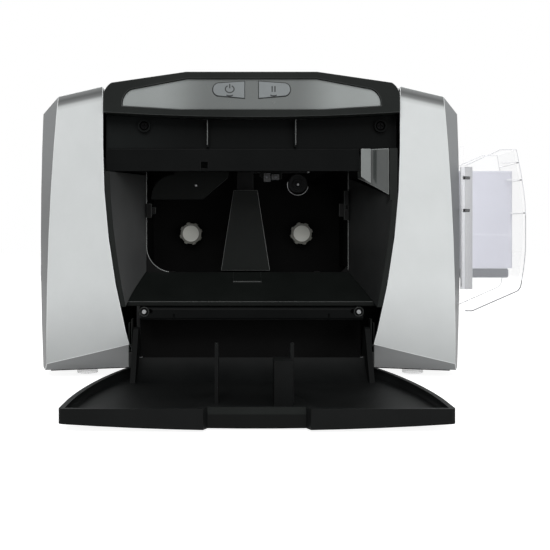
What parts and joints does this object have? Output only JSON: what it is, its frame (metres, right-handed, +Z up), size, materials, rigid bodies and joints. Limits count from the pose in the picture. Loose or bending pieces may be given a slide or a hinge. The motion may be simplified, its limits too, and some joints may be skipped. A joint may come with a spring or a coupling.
{
  "type": "id card printer",
  "caption": "Desktop plastic-card printer with silver side shells, a fold-down ribbon cover, an open ribbon bay and a clear card hopper at its side.",
  "frame": {"origin": "on the table, under the middle of the whole box with the ribbon cover open and the card hopper fitted", "axes": "+X to the right as seen from the front, towards the card hopper; +Y to the back; +Z up"},
  "size_m": [0.4157, 0.42, 0.2465],
  "materials": {
    "silver_shell": "satin metallic paint on moulded plastic",
    "black_plastic": "fine matt texture",
    "grey_panel": "satin metallic paint",
    "glossy_grey": "glossy",
    "pale_plastic": "satin",
    "clear_plastic": "clear moulded plastic",
    "frosted_plastic": "frosted moulded plastic",
    "dark_grey_plastic": "satin",
    "card_white": "blank card, satin",
    "steel": "bare sheet and turned steel",
    "motor_steel": "black coated",
    "aluminium": "machined",
    "brass": "turned",
    "gear_plastic": "natural moulded nylon",
    "rubber": "ground smooth",
    "board_green": "solder mask"
  },
  "bodies": {
    "printer": {"base_pan": "black_plastic", "bay_frame": "black_plastic", "bay_moulding": "black_plastic", "button_board": "board_green", "card_shroud": "glossy_grey", "card_stack": "card_white", "card_tray": "dark_grey_plastic", "case_screws": "steel", "control_panel": "grey_panel", "drive_motor": "motor_steel", "exit_chute": "black_plastic", "front_ledge": "black_plastic", "front_rail": "steel", "guide_column": "frosted_plastic", "guide_rods": "steel", "head_motor": "motor_steel", "hinge_pins": "steel", "hopper_frame": "dark_grey_plastic", "left_cheek": "black_plastic", "left_shell": "silver_shell", "lower_panel": "black_plastic", "main_board": "board_green", "mech_plate": "steel", "pick_motor": "motor_steel", "rear_cover": "black_plastic", "rear_sockets": "dark_grey_plastic", "ribbon_clips": "black_plastic", "ribbon_motor": "motor_steel", "right_cheek": "black_plastic", "right_shell": "silver_shell", "roller_bushings": "brass", "rubber_feet": "rubber", "sill_bar": "black_plastic", "top_bezel": "black_plastic", "top_cover": "black_plastic", "upper_fascia": "black_plastic", "valance": "black_plastic"},
    "front_cover": {"front_cover": "black_plastic"},
    "power_button": {"power_button": "grey_panel"},
    "pause_button": {"pause_button": "grey_panel"},
    "platen": {"platen_roller": "rubber", "platen_gear": "gear_plastic"},
    "feed": {"feed_roller": "rubber", "feed_gear": "gear_plastic"},
    "exit": {"exit_roller": "rubber", "exit_gear": "gear_plastic"},
    "feed_idler": {"feed_idler": "gear_plastic"},
    "exit_idler": {"exit_idler": "gear_plastic"},
    "drive_pinion": {"drive_pinion": "brass"},
    "takeup_hub": {"takeup_hub": "pale_plastic", "takeup_gear": "gear_plastic"},
    "ribbon_pinion": {"ribbon_pinion": "brass"},
    "supply_hub": {"supply_hub": "pale_plastic", "encoder_wheel": "dark_grey_plastic"},
    "head": {"head_cover": "black_plastic", "printhead": "aluminium", "head_arm": "steel"},
    "head_cam": {"head_cam": "pale_plastic"},
    "hopper_cover": {"hopper_cover": "clear_plastic"},
    "pick_roller": {"pick_roller": "rubber"}
  },
  "joints": [
    {"name": "front_cover_hinge", "type": "hinge", "parent": "printer", "child": "front_cover", "pos_m": [-0.0288, -0.01925, 0.01975], "axis": [-1, 0, 0], "range_deg": [0, 90]},
    {"name": "power_button_press", "type": "slide", "parent": "printer", "child": "power_button", "axis": [0, 1, 0], "range_m": [0, 0.001], "stiffness_N_per_m": 600},
    {"name": "pause_button_press", "type": "slide", "parent": "printer", "child": "pause_button", "axis": [0, 1, 0], "range_m": [0, 0.001], "stiffness_N_per_m": 600},
    {"name": "platen_spin", "type": "hinge", "parent": "printer", "child": "platen", "pos_m": [-0.0328, 0.071, 0.0785], "axis": [0, 1, 0], "continuous": true},
    {"name": "feed_spin", "type": "hinge", "parent": "printer", "child": "feed", "pos_m": [0.0332, 0.071, 0.0785], "axis": [0, 1, 0], "continuous": true},
    {"name": "exit_spin", "type": "hinge", "parent": "printer", "child": "exit", "pos_m": [-0.0988, 0.071, 0.0785], "axis": [0, 1, 0], "continuous": true},
    {"name": "feed_idler_spin", "type": "hinge", "parent": "printer", "child": "feed_idler", "pos_m": [0.0002, 0.112, 0.0785], "axis": [0, 1, 0], "continuous": true},
    {"name": "exit_idler_spin", "type": "hinge", "parent": "printer", "child": "exit_idler", "pos_m": [-0.0658, 0.112, 0.0785], "axis": [0, 1, 0], "continuous": true},
    {"name": "drive_pinion_spin", "type": "hinge", "parent": "printer", "child": "drive_pinion", "pos_m": [-0.0328, 0.112, 0.0605], "axis": [0, 1, 0], "continuous": true},
    {"name": "takeup_hub_spin", "type": "hinge", "parent": "printer", "child": "takeup_hub", "pos_m": [-0.0818, 0.096, 0.1198], "axis": [0, 1, 0], "continuous": true},
    {"name": "ribbon_pinion_spin", "type": "hinge", "parent": "printer", "child": "ribbon_pinion", "pos_m": [-0.0818, 0.112, 0.1438], "axis": [0, 1, 0], "continuous": true},
    {"name": "supply_hub_spin", "type": "hinge", "parent": "printer", "child": "supply_hub", "pos_m": [0.0187, 0.096, 0.1198], "axis": [0, 1, 0], "continuous": true},
    {"name": "head_cam_turn", "type": "hinge", "parent": "printer", "child": "head_cam", "pos_m": [0.0142, 0.076, 0.1633], "axis": [0, 1, 0], "range_deg": [0, 180]},
    {"name": "head_lift", "type": "slide", "parent": "printer", "child": "head", "axis": [0, 0, 1], "range_m": [-0.003, 0]},
    {"name": "hopper_cover_hinge", "type": "hinge", "parent": "printer", "child": "hopper_cover", "pos_m": [0.1612, 0.071, 0.062], "axis": [0, 1, 0], "range_deg": [0, 60]},
    {"name": "pick_roller_spin", "type": "hinge", "parent": "printer", "child": "pick_roller", "pos_m": [0.1236, 0.071, 0.0817], "axis": [0, 1, 0], "continuous": true}
  ],
  "couplings": [
    {"joint": "feed_idler_spin", "follows": "platen_spin", "ratio": -0.57143},
    {"joint": "exit_idler_spin", "follows": "platen_spin", "ratio": -0.57143},
    {"joint": "feed_spin", "follows": "platen_spin", "ratio": 1},
    {"joint": "exit_spin", "follows": "platen_spin", "ratio": 1},
    {"joint": "drive_pinion_spin", "follows": "platen_spin", "ratio": -2},
    {"joint": "ribbon_pinion_spin", "follows": "takeup_hub_spin", "ratio": -3},
    {"joint": "head_cam_turn", "follows": "head_lift", "rad_per_m": -1047}
  ]
}
